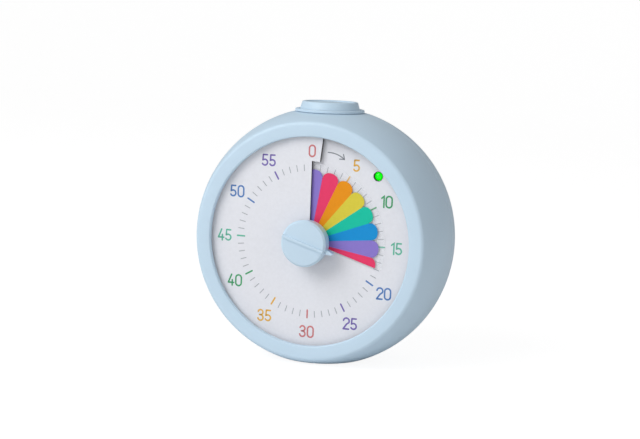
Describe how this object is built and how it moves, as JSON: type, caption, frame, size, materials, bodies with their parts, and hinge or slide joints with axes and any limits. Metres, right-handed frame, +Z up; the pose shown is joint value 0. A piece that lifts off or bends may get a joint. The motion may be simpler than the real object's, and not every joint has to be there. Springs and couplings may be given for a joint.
{
  "type": "visual countdown timer",
  "caption": "Round barrel-shaped desk timer with a helical one-hour dial, a clear petal-printed disc that winds out as the knob is set, a top button and a flat base.",
  "frame": {"origin": "centre of the base flat, on the surface that the timer stands on, at the middle of the casing's depth", "axes": "+Z up, +Y towards the back so the dial faces -Y, +X to the right as the dial is read"},
  "size_m": [0.0906, 0.0442, 0.0902],
  "materials": {
    "casing_blue": "satin moulded ABS, powder blue",
    "knob_blue": "satin moulded ABS, powder blue",
    "dial_white": "matt printed sheet, off-white",
    "disc_clear": "clear sheet printed with coloured petals",
    "inner_white": "natural moulded ABS",
    "inner_black": "black moulded plastic",
    "gear_plastic": "natural acetal",
    "board_green": "glass-fibre circuit board with solder mask",
    "steel": "zinc-plated steel",
    "brass": "plain brass",
    "copper": "enamelled copper winding",
    "cell_case": "plain cell can with a plastic sleeve",
    "lamp_green": "diffused green lamp lens"
  },
  "bodies": {
    "casing": {"front_shell": "casing_blue", "rear_shell": "casing_blue", "button_collar": "casing_blue", "dial_plate": "dial_white", "chassis": "inner_white", "movement_front": "inner_black", "movement_rear": "inner_black", "spindle_bush": "brass", "arbors": "steel", "contact_leaf": "brass", "stator": "steel", "coil_bobbin": "inner_white", "coil_winding": "copper", "tact_switch": "inner_black", "button_board": "board_green", "circuit_board": "board_green", "buzzer": "inner_black", "slide_switch": "steel", "timer_chip": "inner_black", "lamp": "lamp_green", "lamp_legs": "steel", "lamp_spacer": "inner_black", "upper_battery": "cell_case", "lower_battery": "cell_case", "battery_plates": "steel", "battery_springs": "steel", "chassis_screws": "steel", "case_screws": "steel", "board_screws": "steel", "movement_screws": "steel"},
    "knob": {"knob": "knob_blue", "spindle": "brass", "clutch_spring": "steel", "retaining_ring": "steel", "zero_cam": "gear_plastic"},
    "disc": {"colour_disc": "disc_clear", "disc_hub": "inner_white"},
    "first_gear": {"spindle_wheel": "gear_plastic"},
    "second_gear": {"second_wheel": "gear_plastic"},
    "third_gear": {"third_wheel": "gear_plastic"},
    "motor_rotor": {"rotor": "gear_plastic"},
    "button": {"top_button": "casing_blue", "tact_plunger": "inner_white"},
    "switch": {"switch_slider": "inner_black"},
    "door": {"battery_door": "casing_blue"}
  },
  "joints": [
    {"name": "knob_turn", "type": "hinge", "parent": "casing", "child": "knob", "pos_m": [0, -0.0212, 0.043], "axis": [0, 1, 0], "range_deg": [-107, 253]},
    {"name": "disc_climb", "type": "slide", "parent": "knob", "child": "disc", "axis": [0, -1, 0], "range_m": [-0.00045, 0.00106]},
    {"name": "gear_run", "type": "hinge", "parent": "casing", "child": "first_gear", "pos_m": [0, -0.0101, 0.043], "axis": [0, 1, 0], "range_deg": [-360, 0]},
    {"name": "second_gear_spin", "type": "hinge", "parent": "casing", "child": "second_gear", "pos_m": [0.01212, -0.0094, 0.036], "axis": [0, 1, 0], "range_deg": [-1, 2161]},
    {"name": "third_gear_spin", "type": "hinge", "parent": "casing", "child": "third_gear", "pos_m": [0.00302, -0.0076, 0.02882], "axis": [0, 1, 0], "range_deg": [-10370, 2]},
    {"name": "rotor_spin", "type": "hinge", "parent": "casing", "child": "motor_rotor", "pos_m": [-0.00619, -0.006, 0.0261], "axis": [0, 1, 0], "range_deg": [-10, 51850]},
    {"name": "button_press", "type": "slide", "parent": "casing", "child": "button", "axis": [0, 0, -1], "range_m": [0, 0.001], "stiffness_N_per_m": 400},
    {"name": "volume_slide", "type": "slide", "parent": "casing", "child": "switch", "axis": [1, 0, 0], "range_m": [-0.0025, 0.0025]},
    {"name": "door_open", "type": "hinge", "parent": "casing", "child": "door", "pos_m": [0, 0.01888, 0.0174], "axis": [-1, 0, 0], "range_deg": [0, 95]}
  ],
  "couplings": [
    {"joint": "disc_climb", "follows": "knob_turn", "m_per_rad": 0.00023873},
    {"joint": "second_gear_spin", "follows": "gear_run", "ratio": -6},
    {"joint": "third_gear_spin", "follows": "gear_run", "ratio": 28.8},
    {"joint": "rotor_spin", "follows": "gear_run", "ratio": -144}
  ]
}
